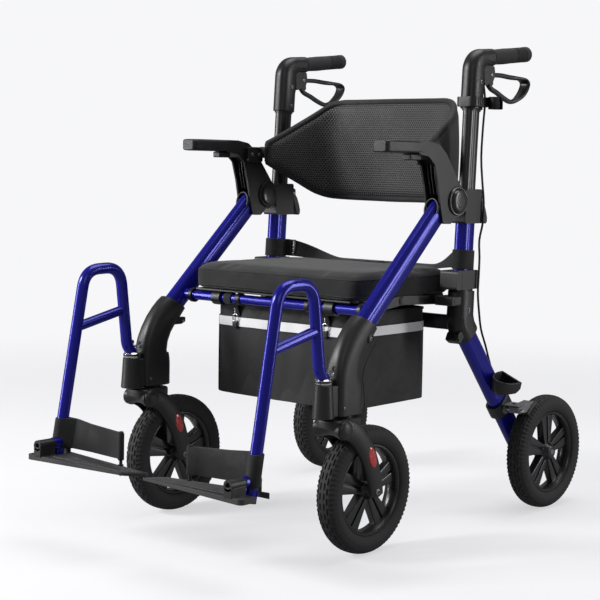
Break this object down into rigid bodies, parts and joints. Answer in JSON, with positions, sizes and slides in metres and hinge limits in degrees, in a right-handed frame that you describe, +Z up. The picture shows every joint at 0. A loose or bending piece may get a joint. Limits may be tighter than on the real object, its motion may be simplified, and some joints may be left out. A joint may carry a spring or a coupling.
{
  "type": "rollator wheelchair",
  "caption": "Folding rollator wheelchair with padded seat, backrest, armrests, swing-away footrests, height-adjustable brake handles and swivelling front wheels.",
  "frame": {"origin": "on the floor, at the middle of the overall box", "axes": "+Z up, -Y the way that the seated user faces, +X the user's left"},
  "size_m": [0.639, 0.997, 0.9592],
  "materials": {
    "blue_lacquer": "gloss",
    "black_casting": "satin",
    "black_plastic": "satin",
    "grip_rubber": "matte",
    "tyre_rubber": "matte",
    "black_fabric": "woven",
    "grey_steel": "satin"
  },
  "bodies": {
    "rear_frame": {"rear_leg_left": "blue_lacquer", "rear_leg_right": "blue_lacquer", "knee_joint_left": "black_plastic", "knee_joint_right": "black_plastic", "hub_clamp_left": "black_casting", "hub_clamp_right": "black_casting", "rear_cross_bar": "black_plastic", "seat_belt_left": "black_fabric", "seat_belt_right": "black_fabric", "brake_bracket_left": "black_plastic", "brake_bracket_right": "black_plastic", "brake_cable_left": "black_plastic", "brake_cable_right": "black_plastic", "cane_cup": "black_plastic"},
    "front_frame": {"front_tubes": "blue_lacquer", "armrest_left": "black_plastic", "armrest_right": "black_plastic", "hub_bolt_left": "black_plastic", "hub_bolt_right": "black_plastic", "leg_casting_left": "black_casting", "leg_casting_right": "black_casting", "backrest": "black_fabric", "bag": "black_fabric"},
    "seat": {"seat_cushion": "black_fabric", "seat_pan": "black_plastic"},
    "handle_left": {"handle_tube_left": "black_casting", "handle_sleeve_left": "black_plastic", "grip_left": "grip_rubber", "cane_clip": "black_plastic"},
    "brake_lever_left": {"brake_lever_left": "black_plastic"},
    "brake_shoe_left": {"brake_shoe_left": "grey_steel"},
    "clamp_lever_left": {"clamp_lever_left": "black_plastic"},
    "footrest_latch_left": {"footrest_latch_left": "grey_steel"},
    "caster_left": {"fork_left": "black_casting"},
    "front_wheel_left": {"front_rim_left": "black_plastic", "front_tyre_left": "tyre_rubber"},
    "rear_wheel_left": {"rear_rim_left": "black_plastic", "rear_tyre_left": "tyre_rubber"},
    "footrest_left": {"footrest_hanger_left": "blue_lacquer", "heel_strap_left": "black_fabric"},
    "footplate_left": {"footplate_left": "black_casting"},
    "rear_link_left": {"rear_link_left": "grey_steel"},
    "front_link_left": {"front_link_left": "grey_steel"},
    "handle_right": {"handle_tube_right": "black_casting", "handle_sleeve_right": "black_plastic", "grip_right": "grip_rubber"},
    "brake_lever_right": {"brake_lever_right": "black_plastic"},
    "brake_shoe_right": {"brake_shoe_right": "grey_steel"},
    "clamp_lever_right": {"clamp_lever_right": "black_plastic"},
    "footrest_latch_right": {"footrest_latch_right": "grey_steel"},
    "caster_right": {"fork_right": "black_casting"},
    "front_wheel_right": {"front_rim_right": "black_plastic", "front_tyre_right": "tyre_rubber"},
    "rear_wheel_right": {"rear_rim_right": "black_plastic", "rear_tyre_right": "tyre_rubber"},
    "footrest_right": {"footrest_hanger_right": "blue_lacquer", "heel_strap_right": "black_fabric"},
    "footplate_right": {"footplate_right": "black_casting"},
    "rear_link_right": {"rear_link_right": "grey_steel"},
    "front_link_right": {"front_link_right": "grey_steel"}
  },
  "joints": [
    {"name": "frame_fold", "type": "hinge", "parent": "rear_frame", "child": "front_frame", "pos_m": [0, 0.092, 0.643], "axis": [1, 0, 0], "range_deg": [0, 28], "deforming": ["bag", "seat_belt_left", "seat_belt_right"]},
    {"name": "seat_flip", "type": "hinge", "parent": "front_frame", "child": "seat", "pos_m": [0, -0.13, 0.44], "axis": [1, 0, 0], "range_deg": [0, 80]},
    {"name": "handle_height_left", "type": "slide", "parent": "rear_frame", "child": "handle_left", "axis": [0, 0.0622, 0.9981], "range_m": [-0.13, 0.03], "deforming": ["brake_cable_left"]},
    {"name": "brake_squeeze_left", "type": "hinge", "parent": "handle_left", "child": "brake_lever_left", "pos_m": [0.254, 0.21, 0.894], "axis": [1, 0, 0], "range_deg": [0, 14], "stiffness_Nm_per_rad": 1.2},
    {"name": "brake_shoe_pivot_left", "type": "hinge", "parent": "rear_frame", "child": "brake_shoe_left", "pos_m": [0.297, 0.27239, 0.2162], "axis": [1, 0, 0], "range_deg": [-2.1, 0]},
    {"name": "clamp_lever_pivot_left", "type": "hinge", "parent": "rear_frame", "child": "clamp_lever_left", "pos_m": [0.254, 0.17998, 0.6445], "axis": [1, 0, 0], "range_deg": [0, 95]},
    {"name": "footrest_latch_press_left", "type": "slide", "parent": "front_frame", "child": "footrest_latch_left", "axis": [0, -1, 0], "range_m": [0, 0.004], "stiffness_N_per_m": 400},
    {"name": "caster_swivel_left", "type": "hinge", "parent": "front_frame", "child": "caster_left", "pos_m": [0.254, -0.217, 0.258], "axis": [0, 0, 1], "continuous": true},
    {"name": "front_wheel_spin_left", "type": "hinge", "parent": "caster_left", "child": "front_wheel_left", "pos_m": [0.254, -0.152, 0.1175], "axis": [1, 0, 0], "continuous": true},
    {"name": "rear_wheel_spin_left", "type": "hinge", "parent": "rear_frame", "child": "rear_wheel_left", "pos_m": [0.297, 0.382, 0.1175], "axis": [1, 0, 0], "continuous": true},
    {"name": "footrest_swing_left", "type": "hinge", "parent": "front_frame", "child": "footrest_left", "pos_m": [0.254, -0.269, 0.322], "axis": [0, 0, 1], "range_deg": [0, 60]},
    {"name": "footplate_flip_left", "type": "hinge", "parent": "footrest_left", "child": "footplate_left", "pos_m": [0.25, -0.45, 0.178], "axis": [0, 1, 0], "range_deg": [0, 88], "deforming": ["heel_strap_left"]},
    {"name": "rear_link_pivot_left", "type": "hinge", "parent": "rear_frame", "child": "rear_link_left", "pos_m": [0.2163, 0.1, 0.447], "axis": [1, 0, 0], "range_deg": [0, 90]},
    {"name": "front_link_pivot_left", "type": "hinge", "parent": "front_frame", "child": "front_link_left", "pos_m": [0.2163, -0.13, 0.44], "axis": [1, 0, 0], "range_deg": [-42, 0]},
    {"name": "handle_height_right", "type": "slide", "parent": "rear_frame", "child": "handle_right", "axis": [0, 0.0622, 0.9981], "range_m": [-0.13, 0.03], "deforming": ["brake_cable_right"]},
    {"name": "brake_squeeze_right", "type": "hinge", "parent": "handle_right", "child": "brake_lever_right", "pos_m": [-0.254, 0.21, 0.894], "axis": [1, 0, 0], "range_deg": [0, 14], "stiffness_Nm_per_rad": 1.2},
    {"name": "brake_shoe_pivot_right", "type": "hinge", "parent": "rear_frame", "child": "brake_shoe_right", "pos_m": [-0.297, 0.27239, 0.2162], "axis": [1, 0, 0], "range_deg": [-2.1, 0]},
    {"name": "clamp_lever_pivot_right", "type": "hinge", "parent": "rear_frame", "child": "clamp_lever_right", "pos_m": [-0.254, 0.17998, 0.6445], "axis": [1, 0, 0], "range_deg": [0, 95]},
    {"name": "footrest_latch_press_right", "type": "slide", "parent": "front_frame", "child": "footrest_latch_right", "axis": [0, -1, 0], "range_m": [0, 0.004], "stiffness_N_per_m": 400},
    {"name": "caster_swivel_right", "type": "hinge", "parent": "front_frame", "child": "caster_right", "pos_m": [-0.254, -0.217, 0.258], "axis": [0, 0, 1], "continuous": true},
    {"name": "front_wheel_spin_right", "type": "hinge", "parent": "caster_right", "child": "front_wheel_right", "pos_m": [-0.254, -0.152, 0.1175], "axis": [1, 0, 0], "continuous": true},
    {"name": "rear_wheel_spin_right", "type": "hinge", "parent": "rear_frame", "child": "rear_wheel_right", "pos_m": [-0.297, 0.382, 0.1175], "axis": [1, 0, 0], "continuous": true},
    {"name": "footrest_swing_right", "type": "hinge", "parent": "front_frame", "child": "footrest_right", "pos_m": [-0.254, -0.269, 0.322], "axis": [0, 0, -1], "range_deg": [0, 60]},
    {"name": "footplate_flip_right", "type": "hinge", "parent": "footrest_right", "child": "footplate_right", "pos_m": [-0.25, -0.45, 0.178], "axis": [0, -1, 0], "range_deg": [0, 88], "deforming": ["heel_strap_right"]},
    {"name": "rear_link_pivot_right", "type": "hinge", "parent": "rear_frame", "child": "rear_link_right", "pos_m": [-0.2163, 0.1, 0.447], "axis": [1, 0, 0], "range_deg": [0, 90]},
    {"name": "front_link_pivot_right", "type": "hinge", "parent": "front_frame", "child": "front_link_right", "pos_m": [-0.2163, -0.13, 0.44], "axis": [1, 0, 0], "range_deg": [-42, 0]}
  ],
  "couplings": [
    {"joint": "brake_shoe_pivot_left", "follows": "brake_squeeze_left", "ratio": -0.14},
    {"joint": "rear_link_pivot_left", "follows": "frame_fold", "ratio": 3.14},
    {"joint": "front_link_pivot_left", "follows": "frame_fold", "ratio": -1.46},
    {"joint": "brake_shoe_pivot_right", "follows": "brake_squeeze_right", "ratio": -0.14},
    {"joint": "rear_link_pivot_right", "follows": "frame_fold", "ratio": 3.14},
    {"joint": "front_link_pivot_right", "follows": "frame_fold", "ratio": -1.46}
  ]
}
